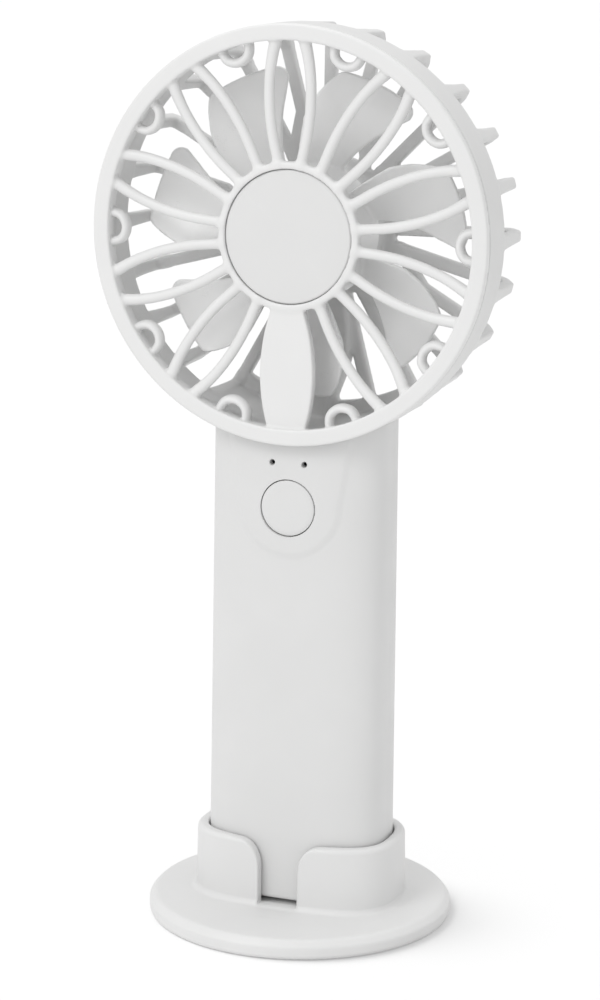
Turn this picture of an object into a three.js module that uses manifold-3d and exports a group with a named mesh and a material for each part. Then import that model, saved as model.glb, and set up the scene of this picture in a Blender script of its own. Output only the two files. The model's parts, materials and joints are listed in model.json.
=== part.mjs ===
// Handheld electric fan standing in its round table stand.
// Millimetres, +Z up, the grille faces -Y, origin under the middle of the stand.
import * as THREE from "three";
import { mergeVertices } from "three/addons/utils/BufferGeometryUtils.js";
import Module from "manifold-3d";

const wasm = await Module();
wasm.setup();

// ---- driving dimensions -------------------------------------------------
const HZ = 162.8;          // height of the rotor axis
const R_HEAD = 47.5;       // outer radius of the head
const R_HEAD_IN = 44.6;    // inner radius of the round wall
const R_RING = 44.1;       // inner radius of the grille ring
const Y_FRONT = -14.0;     // front of the grille ring
const Y_CAP = -12.2;       // back of the ring cap, the outer seam of the head
const Y_SKIRT = -9.5;      // back of the grille's plug-in skirt
const Y_DRUM = -0.9;       // rear edge of the round wall
const Y_REAR = 15.5;       // rear face of the basket of ribs
const GAP = 0.3;           // clearance between neighbouring pieces

const N_PETAL = 10;        // grille divisions, 36 degrees each
const BAR_R = 1.2;         // round grille bar
const LOOP_R = 1.05;       // round bar of the small ring loops
const R_BADGE = 15.05;     // hub badge
const R_HUB = 16.9;        // grille hub ring
const N_RIB = 24;          // rear ribs, 15 degrees each

const N_BLADE = 7;
const BLADE_MID = 111.5;   // middle of the first blade's tip, degrees
const R_ROTOR_HUB = 15.8;
const R_TIP = 38.0;

const HANDLE_A = 21.75;    // half width of the handle at its foot
const HANDLE_A_TOP = 21.3; // and at the neck
const HANDLE_BF = 12.0;    // front depth of the handle at its foot
const HANDLE_BF_TOP = 10.3; // and at the neck
const HANDLE_BR = 15.5;    // rear depth of the handle
const HANDLE_Z0 = 5.6;     // underside of the handle in the stand
const R_NECK = 47.05;      // the handle's top is cut round the head at this radius
const WALL = 1.8;          // shell thickness
const Y_SEAM = 8.0;        // split between the two handle shells

const STAND_R = 36.0;
const STAND_T = 4.6;
const COLLAR_Z = 20.4;
const BUTTON_Z = 100.1;
const BUTTON_R = 6.5;
const BUTTON_TRAVEL = 0.5;
const LED_X = 3.93, LED_Z = 110.6;
const MOTOR_R = 12.2;
const SHAFT_R = 1.0;

// ---- solids --------------------------------------------------------------
const D2R = Math.PI / 180;

function solid(geometry) {
  const g = geometry.clone();
  for (const k of Object.keys(g.attributes)) if (k !== "position") g.deleteAttribute(k);
  const m = mergeVertices(g, 1e-4);
  const pos = new Float32Array(m.attributes.position.array);
  const idx = [];
  const src = m.index.array;
  for (let i = 0; i < src.length; i += 3) {
    const [a, b, c] = [src[i], src[i + 1], src[i + 2]];
    if (a !== b && b !== c && a !== c) idx.push(a, b, c);
  }
  const s = new wasm.Manifold(new wasm.Mesh({ numProp: 3, vertProperties: pos, triVerts: new Uint32Array(idx) }));
  return s.volume() < 0 ? solidFlipped(pos, idx) : s;
}
function solidFlipped(pos, idx) {
  const f = [];
  for (let i = 0; i < idx.length; i += 3) f.push(idx[i], idx[i + 2], idx[i + 1]);
  return new wasm.Manifold(new wasm.Mesh({ numProp: 3, vertProperties: pos, triVerts: new Uint32Array(f) }));
}
function toGeometry(s) {
  const m = s.getMesh();
  const g = new THREE.BufferGeometry();
  const n = m.vertProperties.length / m.numProp;
  const p = new Float32Array(n * 3);
  for (let i = 0; i < n; i++) for (let k = 0; k < 3; k++) p[3 * i + k] = m.vertProperties[m.numProp * i + k];
  g.setAttribute("position", new THREE.BufferAttribute(p, 3));
  g.setIndex(new THREE.BufferAttribute(new Uint32Array(m.triVerts), 1));
  g.computeVertexNormals();
  return g;
}
const union = (list) => list.reduce((a, b) => a.add(b));

// A closed skin through equal-length rings of points, with a flat cap at each end.
function loft(rings) {
  const n = rings[0].length, v = [], f = [];
  for (const r of rings) for (const p of r) v.push(p[0], p[1], p[2]);
  for (let k = 0; k + 1 < rings.length; k++) {
    for (let i = 0; i < n; i++) {
      const a = k * n + i, b = k * n + (i + 1) % n, c = a + n, d = b + n;
      f.push(a, b, d, a, d, c);
    }
  }
  for (const [k, flip] of [[0, true], [rings.length - 1, false]]) {
    const c = v.length / 3, m = [0, 0, 0];
    for (const p of rings[k]) for (let j = 0; j < 3; j++) m[j] += p[j] / n;
    v.push(...m);
    for (let i = 0; i < n; i++) {
      const a = k * n + i, b = k * n + (i + 1) % n;
      flip ? f.push(c, b, a) : f.push(c, a, b);
    }
  }
  const g = new THREE.BufferGeometry();
  g.setAttribute("position", new THREE.BufferAttribute(new Float32Array(v), 3));
  g.setIndex(f);
  return solid(g);
}
const box = (x0, x1, y0, y1, z0, z1) => {
  const g = new THREE.BoxGeometry(x1 - x0, y1 - y0, z1 - z0);
  g.translate((x0 + x1) / 2, (y0 + y1) / 2, (z0 + z1) / 2);
  return solid(g);
};
// A cylinder along Y.
const cylY = (r, y0, y1, x = 0, z = 0, seg = 24) => {
  const g = new THREE.CylinderGeometry(r, r, y1 - y0, seg);
  g.translate(x, (y0 + y1) / 2, z);
  return solid(g);
};
// A cylinder along Z.
const cylZ = (r, z0, z1, x = 0, y = 0, seg = 24) => {
  const g = new THREE.CylinderGeometry(r, r, z1 - z0, seg);
  g.rotateX(Math.PI / 2);
  g.translate(x, y, (z0 + z1) / 2);
  return solid(g);
};
// Turned about the head's axis: profile points are [radius, y].
const turnY = (profile, seg = 72, z = HZ) => {
  const closed = [...profile];
  if (profile[0][0] > 0 || profile[profile.length - 1][0] > 0) closed.push(profile[0]);
  const g = new THREE.LatheGeometry(closed.map(([r, y]) => new THREE.Vector2(r, y)), seg);
  g.translate(0, 0, z);
  return solid(g);
};
// Turned about the stand's axis: profile points are [radius, z].
const turnZ = (profile, seg = 72, x = 0, y = 0) => {
  const closed = [...profile];
  if (profile[0][0] > 0 || profile[profile.length - 1][0] > 0) closed.push(profile[0]);
  const g = new THREE.LatheGeometry(closed.map(([r, h]) => new THREE.Vector2(r, h)), seg);
  g.rotateX(Math.PI / 2);
  g.translate(x, y, 0);
  return solid(g);
};
// A round bar through points, with a flat end at each end.
function bar(points, radius, sides = 6) {
  const P = points.map((p) => new THREE.Vector3(...p));
  const rings = [];
  let up = null;
  for (let i = 0; i < P.length; i++) {
    const t = new THREE.Vector3();
    if (i > 0) t.add(P[i].clone().sub(P[i - 1]).normalize());
    if (i + 1 < P.length) t.add(P[i + 1].clone().sub(P[i]).normalize());
    t.normalize();
    if (!up) up = Math.abs(t.y) < 0.9 ? new THREE.Vector3(0, 1, 0) : new THREE.Vector3(1, 0, 0);
    const s = new THREE.Vector3().crossVectors(t, up).normalize();
    up = new THREE.Vector3().crossVectors(s, t).normalize();
    const rr = Array.isArray(radius) ? radius[i] : radius;
    const ring = [];
    for (let k = 0; k < sides; k++) {
      const a = 2 * Math.PI * (k + 0.5) / sides;
      const q = P[i].clone().addScaledVector(s, Math.cos(a) * rr).addScaledVector(up, Math.sin(a) * rr);
      ring.push([q.x, q.y, q.z]);
    }
    rings.push(ring);
  }
  return loft(rings);
}
// A six-sided block from its eight corners: four of one end, then four of the other.
const block = (a, b) => loft([a, b]);
// A point of the head in polar form: radius, degrees anticlockwise from +X seen from the front, depth.
const polar = (r, deg, y, off = 0) => {
  const c = Math.cos(deg * D2R), s = Math.sin(deg * D2R);
  return [r * c - off * s, y, HZ + r * s + off * c];
};
// Handle-shaped section at height z, smaller by inset all round.
function section(z, inset = 0, n = 44) {
  const ring = [], u = Math.min(Math.max((z - 20) / 95, 0), 1.1);
  const a = HANDLE_A + (HANDLE_A_TOP - HANDLE_A) * u, bf = HANDLE_BF + (HANDLE_BF_TOP - HANDLE_BF) * u, br = HANDLE_BR;
  for (let i = 0; i < n; i++) {
    const t = 2 * Math.PI * i / n, c = Math.cos(t), s = Math.sin(t);
    const e = s < 0 ? 3.0 : 2.8, b = s < 0 ? bf : br;
    ring.push([(a - inset) * Math.sign(c) * Math.abs(c) ** (2 / e), (b - inset) * Math.sign(s) * Math.abs(s) ** (2 / e), z]);
  }
  return ring;
}

// ---- stand ---------------------------------------------------------------
function standBase() {
  const disc = turnZ([[0, 1.2], [33.3, 1.2], [33.3, 0.1], [35.4, 0.1], [STAND_R, 0.8], [STAND_R, 3.1],
    [35.2, 4.2], [33.4, STAND_T], [0, STAND_T]], 56);
  const outer = loft([section(3, -4.2), section(4.6, -4.0), section(5.3, -3.2), section(6.6, -3.0), section(19.6, -3.0), section(COLLAR_Z, -2.3)]);
  const inner = loft([section(STAND_T, -0.35), section(19.9, -0.35), section(22, -0.9)]);
  // U-shaped notch at the front, with rounded shoulders
  const s = new THREE.Shape();
  s.moveTo(-4.9, 4.9); s.lineTo(4.9, 4.9); s.lineTo(4.9, 15.2);
  s.bezierCurveTo(4.9, 18.4, 6.4, COLLAR_Z + 0.1, 10.5, COLLAR_Z + 0.1);
  s.lineTo(10.5, 25); s.lineTo(-10.5, 25); s.lineTo(-10.5, COLLAR_Z + 0.1);
  s.bezierCurveTo(-6.4, COLLAR_Z + 0.1, -4.9, 18.4, -4.9, 15.2);
  const g = new THREE.ExtrudeGeometry(s, { depth: 14, bevelEnabled: false, curveSegments: 4 });
  g.rotateX(Math.PI / 2);       // shape's y becomes z, depth runs towards -Y
  g.translate(0, -8, 0);
  const notch = solid(g);
  const rest = loft([section(4, 4.5), section(5.0, 4.5), section(5.3, 4.8)]);
  return disc.add(outer).subtract(inner).subtract(notch).add(rest);
}
const footPad = () => turnZ([[0, 0], [32.4, 0], [33.0, 0.3], [33.0, 0.9], [0, 0.9]], 44);

// ---- handle --------------------------------------------------------------
const SCREWS = [
  { name: "shell_screw_upper_left", x: -12, z: 110, seat: 12.2, tip: -2.2 },
  { name: "shell_screw_upper_right", x: 12, z: 110, seat: 12.2, tip: -2.2 },
  { name: "shell_screw_lower_left", x: -15, z: 34, seat: 11.2, tip: 1.5 },
  { name: "shell_screw_lower_right", x: 15, z: 34, seat: 11.2, tip: 1.5 },
];
const handleSolid = () => loft([section(HANDLE_Z0, 1.1), section(HANDLE_Z0 + 0.4, 0.45), section(HANDLE_Z0 + 1.1, 0), section(20, 0), section(124, 0)])
  .subtract(cylY(R_NECK, -30, 30, 0, HZ, 120));
const cavity = () => loft([section(HANDLE_Z0 + WALL, WALL + 0.8), section(HANDLE_Z0 + WALL + 1, WALL), section(20, WALL), section(124.5, WALL)])
  .subtract(cylY(R_NECK + 1.6, -30, 30, 0, HZ, 90));
const STUB = [-16, 16, 3, 9.6, 105.5, 119];

function handleFront() {
  let s = handleSolid().subtract(box(-40, 40, Y_SEAM, 40, 0, 140)).subtract(cavity());
  const whole = handleSolid();
  for (const w of SCREWS) {
    const end = w.z > 60 ? STUB[2] - GAP : Y_SEAM;
    s = s.add(cylY(2.4, -14, end, w.x, w.z, 20).intersect(whole)).subtract(cylY(1.15, w.tip - 1.5, end + 1, w.x, w.z, 16));
  }
  s = s.subtract(box(STUB[0] - GAP, STUB[1] + GAP, STUB[2] - GAP, 20, STUB[4] - GAP, 125));
  s = s.subtract(cylY(BUTTON_R + 0.35, -20, -6, 0, BUTTON_Z, 28));
  for (const x of [-LED_X, LED_X]) s = s.subtract(cylY(0.6, -20, -6, x, LED_Z, 12));
  return s;
}
function handleRear() {
  let s = handleSolid().subtract(box(-40, 40, -40, Y_SEAM + GAP, 0, 140)).subtract(cavity());
  const whole = handleSolid().subtract(box(-40, 40, -40, Y_SEAM + GAP, 0, 140));
  s = s.subtract(box(STUB[0] - GAP, STUB[1] + GAP, -5, STUB[3] + GAP, STUB[4] - GAP, 125));
  for (const w of SCREWS) {
    const y0 = w.z > 60 ? STUB[3] + GAP : Y_SEAM + GAP;
    s = s.add(cylY(3.2, y0, 20, w.x, w.z, 20).intersect(whole))
      .subtract(cylY(1.2, 0, 20, w.x, w.z, 16)).subtract(cylY(2.3, w.seat, 20, w.x, w.z, 20));
  }
  // charging inlet
  return s.subtract(box(-4.2, 4.2, 10, 20, 85.0, 88.4));
}
function screw(w) {
  const y = w.seat + GAP;
  return cylY(0.85, w.tip, y + 0.2, w.x, w.z, 12).add(cylY(1.9, y, y + 1.2, w.x, w.z, 20))
    .subtract(box(w.x - 0.3, w.x + 0.3, y + 0.6, y + 2, w.z - 1.3, w.z + 1.3))
    .subtract(box(w.x - 1.3, w.x + 1.3, y + 0.6, y + 2, w.z - 0.3, w.z + 0.3));
}

// ---- switch, board and battery ---------------------------------------------
const powerButton = () => union([
  turnY([[0, -10.95], [5.6, -10.8], [BUTTON_R, -10.4], [BUTTON_R, -8.2], [0, -8.2]], 28, BUTTON_Z),
  cylY(7.6, -8.25, -7.5, 0, BUTTON_Z, 24), cylY(1.6, -7.6, -7.2, 0, BUTTON_Z, 16)]);
const switchBody = () => box(-3, 3, -6.6, -3.7, BUTTON_Z - 3, BUTTON_Z + 3).subtract(cylY(1.9, -8, -4.2, 0, BUTTON_Z, 20));
const switchStem = () => cylY(1.6, -6.9, -4.9, 0, BUTTON_Z, 20);
function circuitBoard() {
  const s = new THREE.Shape();
  for (const [i, [x, z]] of [[-11, 80], [11, 80], [11, 104], [8.5, 106], [8.5, 113], [-8.5, 113], [-8.5, 106], [-11, 104]].entries()) {
    i ? s.lineTo(x, z) : s.moveTo(x, z);
  }
  const g = new THREE.ExtrudeGeometry(s, { depth: 1.2, bevelEnabled: false });
  g.rotateX(Math.PI / 2);
  g.translate(0, -2.2, 0);
  return solid(g);
}
const led = (x) => box(x - 1, x + 1, -4.5, -3.7, LED_Z - 0.6, LED_Z + 0.6);
const lightPipe = (x) => cylY(0.95, -8.2, -4.8, x, LED_Z, 16);
const battery = () => turnZ([[0, 10.9], [8.4, 10.9], [9.15, 11.5], [9.15, 74.6], [8.4, 75.2], [3.2, 75.3], [3.0, 76.2], [0, 76.2]], 24, 0, 1.2);
const tab = (z) => box(-4, 4, -1.8, 4.2, z, z + 0.3);
const batteryLeadRed = () => bar([[1.5, 0.6, 77.7 - 0.1 + 0.6], [3, 0.4, 78.6], [4.5, -0.4, 79.8], [5, -1.1, 81.4], [5, -1.2, 83]], 0.5, 8);
const batteryLeadBlack = () => bar([[-2.5, 1.2, 9.5], [-8.5, 0.8, 9.5], [-10.9, -0.4, 10.6], [-11.4, -1.0, 14], [-11.4, -1.0, 70], [-10.4, -1.0, 78], [-8.5, -1.2, 83]], 0.5, 6);
const chargingBoard = () => box(-7.5, 7.5, -1.2, 12, 84.0, 85.0 - 0.1);
const chargingSocket = () => box(-3.9, 3.9, 8.4, 15.0, 85.3, 88.1)
  .subtract(box(-3.5, 3.5, 9.6, 16, 85.65, 87.75)).add(box(-2.6, 2.6, 9.4, 14.2, 86.5, 87.0));

// ---- head ------------------------------------------------------------------
function frontGuard() {
  const parts = [];
  parts.push(turnY([[R_RING, Y_SKIRT], [45.0, Y_SKIRT], [45.0, Y_CAP], [R_HEAD, Y_CAP], [R_HEAD, -13.4], [46.9, Y_FRONT],
    [44.8, Y_FRONT], [R_RING, -13.3]], 60));
  parts.push(turnY([[0, -11.35], [15.35, -11.35], [15.35, -12.8], [16.5, -12.9], [R_HUB, -12.3], [R_HUB, -10.2], [0, -10.2]], 40));
  for (let k = 0; k < N_PETAL; k++) {
    const mid = 90 + 36 * k;
    if (k === 5) {                              // the wide flat vane at the bottom
      const w = [[15.2, 3.7], [17.5, 4.25], [21, 5.25], [25, 6.0], [30, 6.45], [34, 6.4], [38, 5.95], [41.5, 5.25], [44.9, 4.3]];
      const rings = w.map(([r, h]) => [polar(r, mid, -12.75, -h), polar(r, mid, -12.75, h), polar(r, mid, -10.3, h), polar(r, mid, -10.3, -h)]);
      parts.push(loft(rings));
      continue;
    }
    for (const side of [-1, 1]) {
      const pts = [[15.9, 2.7, -11.55, 1.35], [18.2, 3.15, -11.6, 1.22], [22.5, 4.1, -11.7, BAR_R], [27, 4.75, -11.75, BAR_R], [32, 5.0, -11.8, BAR_R],
        [37, 4.75, -11.85, 1.22], [41, 4.1, -11.95, 1.3], [44.5, 3.35, -12.05, 1.35]];
      parts.push(bar(pts.map(([r, o, y]) => polar(r, mid, y, o * side)), pts.map((q) => q[3]), 6));
    }
  }
  for (let k = 0; k < N_PETAL; k++) {
    const mid = 72 + 36 * k;
    const half = [[44.9, 3.35], [43, 3.2], [41.5, 2.6], [40.6, 1.35]];
    const pts = [...half.map(([r, o]) => [r, -o]), [40.3, 0], ...half.reverse()];
    parts.push(loft(pts.map(([r, o], i) => {
      const a = pts[Math.max(i - 1, 0)], b = pts[Math.min(i + 1, pts.length - 1)];
      const L = Math.hypot(b[0] - a[0], b[1] - a[1]), nr = -(b[1] - a[1]) / L * LOOP_R, no = (b[0] - a[0]) / L * LOOP_R;
      return [polar(r - nr, mid, -12.5, o - no), polar(r + nr, mid, -12.5, o + no), polar(r + nr, mid, -9.7, o + no), polar(r - nr, mid, -9.7, o - no)];
    })));
  }
  return union(parts).subtract(cylY(15.35, -20, -11.35, 0, HZ, 40));
}
const hubBadge = () => turnY([[0, -12.7], [14.7, -12.6], [R_BADGE, -12.3], [R_BADGE, -11.65], [0, -11.65]], 40);

const Y_RIB = 12.7;
function ribBlock(r0, a0, r1, a1, w0, w1, y0 = Y_RIB, y1 = Y_REAR) {
  const p = (r, a, y) => { const c = Math.cos(a * D2R), s = Math.sin(a * D2R); return [r * c, y, HZ + r * s]; };
  const A = p(r0, a0, 0), B = p(r1, a1, 0);
  const d = [B[0] - A[0], B[2] - A[2]], L = Math.hypot(...d), n = [-d[1] / L, d[0] / L];
  const end = (P, w) => [[P[0] - n[0] * w, y0, P[2] - n[1] * w], [P[0] + n[0] * w, y0, P[2] + n[1] * w],
    [P[0] + n[0] * w, y1, P[2] + n[1] * w], [P[0] - n[0] * w, y1, P[2] - n[1] * w]];
  return block(end(A, w0), end(B, w1));
}
function rearHousing() {
  let parts = [];
  parts.push(turnY([[45.3, -9.2], [45.3, -11.9], [R_HEAD, -11.9], [R_HEAD, Y_DRUM - 0.6], [46.9, Y_DRUM], [R_HEAD_IN, Y_DRUM], [R_HEAD_IN, -9.2]], 60));
  // motor cup and rear hub plate
  parts.push(turnY([[0, 13.8], [12.6, 13.8], [12.6, 5.2], [14.4, 5.2], [14.4, 12.2], [16.7, 12.6], [16.7, 14.9], [16.0, Y_REAR], [0, Y_REAR]], 36));
  // ribs: an axial tooth from the round wall, then a bar across the back
  const mergeTo = { 75: 60, 30: 45, 15: 0, 330: 345, 315: 300, 105: 120, 150: 135, 165: 180, 210: 195, 225: 240 };
  for (let k = 0; k < N_RIB; k++) {
    const a = 15 * k;
    if (a >= 255 && a <= 285) continue;
    const tooth = (y, ri, ro, w) => [polar(ri, a, y, -w), polar(ro, a, y, -w), polar(ro, a, y, w), polar(ri, a, y, w)];
    parts.push(loft([tooth(-3.0, 44.9, 47.4, 1.9), tooth(5, 44.5, 47.0, 1.5), tooth(13.2, 43.8, 46.6, 1.35), tooth(Y_REAR, 42.8, 44.9, 1.3)]));
    if (mergeTo[a] === undefined) parts.push(ribBlock(44.2, a, 15.6, a, 1.4, 1.5));
    else {
      parts.push(ribBlock(44.2, a, 26.6, a, 1.4, 1.4));
      parts.push(ribBlock(27.4, a, 18.0, mergeTo[a], 1.4, 1.3));
    }
  }
  parts.push(ribBlock(44.2, 253.2, 15.6, 250, 1.4, 1.5), ribBlock(44.2, 285, 15.6, 285, 1.4, 1.5));
  // solid web behind the neck
  const wedge = loft([
    [polar(0, 0, -30), polar(70, 239, -30), polar(70, 270, -30), polar(70, 301, -30)],
    [polar(0, 0, 30), polar(70, 239, 30), polar(70, 270, 30), polar(70, 301, 30)]]);
  const web = turnY([[R_HEAD_IN, -3], [47.3, -3], [47.3, 14.6], [46.4, Y_REAR], [41.4, Y_REAR], [41.4, Y_RIB], [R_HEAD_IN, Y_RIB - 0.4]], 60).intersect(wedge);
  parts.push(web);
  // wire channel from the motor cup down to the neck
  const chan = [[15.5, 5.0, 10.9], [22, 6.2, 10.3], [28.5, 6.7, 9.3], [34, 5.2, 8.3], [40, 2.9, 7.0], [45.6, 2.5, 6.2]];
  parts.push(loft(chan.map(([r, h, y]) => [[-h, y, HZ - r], [h, y, HZ - r], [h, Y_REAR, HZ - r], [-h, Y_REAR, HZ - r]])));
  let s = union(parts);
  // recess that the handle's top closes over
  s = s.subtract(box(-21.6, 21.6, -13, 17, 100, HZ - 30).subtract(cylY(46.75, -30, 30, 0, HZ, 120)));
  // neck stub held between the handle shells
  s = s.add(box(STUB[0], STUB[1], STUB[2], STUB[3], STUB[4], STUB[5]).subtract(cylY(R_HEAD_IN + 1, -30, 30, 0, HZ, 60)));
  for (const x of [-12, 12]) s = s.subtract(cylY(1.2, 0, 12, x, 110, 16));
  const bore = [[12.0, 12.95], [16, 12.95], [47, 8.2], [50, 8.0], [60, 8.0]];
  s = s.subtract(loft(bore.map(([r, y]) => [[-1.4, y - 0.8, HZ - r], [1.4, y - 0.8, HZ - r], [1.4, y + 0.8, HZ - r], [-1.4, y + 0.8, HZ - r]])));
  return s;
}

// ---- motor and rotor ---------------------------------------------------------
const motorCan = () => turnY([[3.3, -0.2], [11.4, -0.2], [MOTOR_R, 0.5], [MOTOR_R, 10.6], [11.4, 10.6], [11.4, 0.8], [3.3, 0.8]], 28);
const motorMagnet = () => turnY([[9.3, 1.6], [11.1, 1.6], [11.1, 9.6], [9.3, 9.6]], 24);
const motorArmature = () => turnY([[1.06, 2.4], [3.2, 2.4], [3.2, 3.0], [8.4, 3.0], [8.4, 8.4], [3.2, 8.4], [3.2, 9.9], [1.06, 9.9]], 20);
const motorEndCap = () => turnY([[1.4, 10.9], [11.6, 10.9], [MOTOR_R, 11.3], [MOTOR_R, 12.1], [1.4, 12.1]], 28);
const motorBushing = () => turnY([[1.06, -1.4], [3.0, -1.4], [3.0, 1.6], [1.06, 1.6]], 20);
const motorShaft = () => turnY([[0, -7.7], [SHAFT_R, -7.7], [SHAFT_R, 11.6], [0, 11.6]], 20);
const motorLead = (side) => bar([[side * 5, 12.95, HZ - 6], [side * 2.2, 12.95, HZ - 9.5], [side * 0.7, 12.95, HZ - 12.5], [side * 0.7, 12.95, HZ - 16],
  [side * 0.7, 8.2, HZ - 47], [side * 0.7, 8.0, HZ - 50], [side * 0.7, 8.0, 104], [side * 2.2, 5.5, 100], [side * 4.2, 1.2, 96], [side * 5, -1.2, 92]], 0.4, 6);

function fanRotor() {
  const parts = [turnY([[0, -8.6], [14.8, -8.6], [R_ROTOR_HUB, -7.7], [R_ROTOR_HUB, 4.4], [14.4, 4.4], [14.4, -7.0], [3.2, -7.0], [3.2, -2.0], [1.06, -2.0], [1.06, -8.0], [0, -8.0]], 36)];
  const NR = 5, NT = 4;
  const lerp = (tab, r) => {
    for (let i = 0; i + 1 < tab.length; i++) if (r <= tab[i + 1][0]) {
      const u = (r - tab[i][0]) / (tab[i + 1][0] - tab[i][0]);
      return tab[i].slice(1).map((v, j) => v + (tab[i + 1][j + 1] - v) * u);
    }
    return tab[tab.length - 1].slice(1);
  };
  // radius, clockwise edge angle, anticlockwise edge angle, clockwise edge y, anticlockwise edge y
  const tab = [[14.9, 3.2, 30, 2.6, -6.6], [19, 0.8, 30, 2.6, -6.0], [26.4, -5.4, 28.4, 2.3, -5.0], [31, -9.5, 24.4, 2.0, -4.2], [35, -12.2, 19.9, 1.8, -3.6], [R_TIP, -10.2, 15.4, 1.4, -3.2]];
  for (let b = 0; b < N_BLADE; b++) {
    const mid = BLADE_MID + 360 / N_BLADE * b;
    const top = [], bot = [];
    for (let i = 0; i <= NR; i++) {
      const r = 14.9 + (R_TIP - 14.9) * i / NR;
      const [c, a, yc, ya] = lerp(tab, r);
      for (let j = 0; j <= NT; j++) {
        const t = j / NT;
        const y = yc + (ya - yc) * t + 0.8 * Math.sin(Math.PI * t);
        const h = 0.55;
        top.push(polar(r, mid + c + (a - c) * t, y - h));
        bot.push(polar(r, mid + c + (a - c) * t, y + h));
      }
    }
    const v = [...top, ...bot].flat(), f = [], W = NT + 1, O = (NR + 1) * W;
    for (let i = 0; i < NR; i++) for (let j = 0; j < NT; j++) {
      const p = i * W + j;
      f.push(p, p + 1, p + W, p + 1, p + W + 1, p + W);
      f.push(O + p, O + p + W, O + p + 1, O + p + 1, O + p + W, O + p + W + 1);
    }
    const edge = (p, q) => f.push(p, q + O, q, p, p + O, q + O);
    for (let j = 0; j < NT; j++) { edge(j, j + 1); edge(NR * W + j + 1, NR * W + j); }
    for (let i = 0; i < NR; i++) { edge((i + 1) * W, i * W); edge(i * W + NT, (i + 1) * W + NT); }
    const g = new THREE.BufferGeometry();
    g.setAttribute("position", new THREE.BufferAttribute(new Float32Array(v), 3));
    g.setIndex(f);
    parts.push(solid(g));
  }
  return union(parts);
}

// ---- scene graph ---------------------------------------------------------------
const group = new THREE.Group();
const mat = (color, roughness = 0.45, metalness = 0) => new THREE.MeshStandardMaterial({ color, roughness, metalness });
const WHITE = 0xe9e9e7;
function put(name, s, material) {
  const mesh = new THREE.Mesh(toGeometry(s), material);
  mesh.name = name;
  group.add(mesh);
}
put("stand_base", standBase(), mat(WHITE));
put("stand_foot_pad", footPad(), mat(0x8c8c8c, 0.8));
put("handle_front_shell", handleFront(), mat(WHITE));
put("handle_rear_shell", handleRear(), mat(WHITE));
for (const w of SCREWS) put(w.name, screw(w), mat(0xb5b7ba, 0.35, 1));
put("power_button", powerButton(), mat(WHITE));
put("tact_switch_body", switchBody(), mat(0x222222, 0.5));
put("tact_switch_stem", switchStem(), mat(0x333333, 0.5));
put("circuit_board", circuitBoard(), mat(0x1f6b3a, 0.5));
put("indicator_led_left", led(-LED_X), mat(0xe8e2b0, 0.3));
put("indicator_led_right", led(LED_X), mat(0xe8e2b0, 0.3));
put("light_pipe_left", lightPipe(-LED_X), mat(0x3a3a3a, 0.2));
put("light_pipe_right", lightPipe(LED_X), mat(0x3a3a3a, 0.2));
put("battery_cell", battery(), mat(0x3d6f9e, 0.4));
put("battery_tab_top", tab(77.0), mat(0xc9ccd0, 0.3, 1));
put("battery_tab_bottom", tab(10.3), mat(0xc9ccd0, 0.3, 1));
put("battery_lead_red", batteryLeadRed(), mat(0xa02020, 0.5));
put("battery_lead_black", batteryLeadBlack(), mat(0x181818, 0.5));
put("charging_board", chargingBoard(), mat(0x1f6b3a, 0.5));
put("charging_socket", chargingSocket(), mat(0xb5b7ba, 0.35, 1));
put("front_guard", frontGuard(), mat(WHITE));
put("hub_badge", hubBadge(), mat(0xdededc, 0.5));
put("rear_housing", rearHousing(), mat(WHITE));
put("motor_can", motorCan(), mat(0xb5b7ba, 0.35, 1));
put("motor_magnet", motorMagnet(), mat(0x2b2b2d, 0.6));
put("motor_armature", motorArmature(), mat(0x8a4a22, 0.5, 0.6));
put("motor_end_cap", motorEndCap(), mat(0x202020, 0.5));
put("motor_bushing", motorBushing(), mat(0xb08d4a, 0.4, 1));
put("motor_shaft", motorShaft(), mat(0xb5b7ba, 0.3, 1));
put("motor_lead_red", motorLead(1), mat(0xa02020, 0.5));
put("motor_lead_black", motorLead(-1), mat(0x181818, 0.5));
put("fan_rotor", fanRotor(), mat(0xe2e2e0, 0.4));

export default group;
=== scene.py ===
import json
import math
import time

import bpy
import numpy as np
from mathutils import Matrix, Vector


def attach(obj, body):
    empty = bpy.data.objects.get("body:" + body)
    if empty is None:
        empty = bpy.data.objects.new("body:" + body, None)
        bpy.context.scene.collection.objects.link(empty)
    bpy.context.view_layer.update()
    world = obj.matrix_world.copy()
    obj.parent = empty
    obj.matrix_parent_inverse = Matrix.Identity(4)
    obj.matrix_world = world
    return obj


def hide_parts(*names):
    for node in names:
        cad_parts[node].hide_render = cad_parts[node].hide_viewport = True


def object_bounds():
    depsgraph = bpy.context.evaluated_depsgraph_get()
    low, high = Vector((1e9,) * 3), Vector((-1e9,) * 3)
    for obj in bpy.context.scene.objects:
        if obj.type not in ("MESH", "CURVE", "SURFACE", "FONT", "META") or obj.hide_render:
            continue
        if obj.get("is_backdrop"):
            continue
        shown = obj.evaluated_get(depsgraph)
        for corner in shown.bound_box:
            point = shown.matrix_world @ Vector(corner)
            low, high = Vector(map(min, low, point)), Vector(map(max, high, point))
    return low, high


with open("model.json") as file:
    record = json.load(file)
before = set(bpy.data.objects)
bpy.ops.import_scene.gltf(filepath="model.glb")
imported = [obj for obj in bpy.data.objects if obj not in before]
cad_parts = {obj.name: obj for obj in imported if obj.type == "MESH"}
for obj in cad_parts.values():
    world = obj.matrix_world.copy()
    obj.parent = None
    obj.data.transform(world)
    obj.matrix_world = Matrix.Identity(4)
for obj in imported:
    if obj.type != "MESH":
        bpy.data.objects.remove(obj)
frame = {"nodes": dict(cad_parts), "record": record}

T0 = time.time()
CAD_BOX = [list(v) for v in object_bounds()]
MM = 0.001

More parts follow.
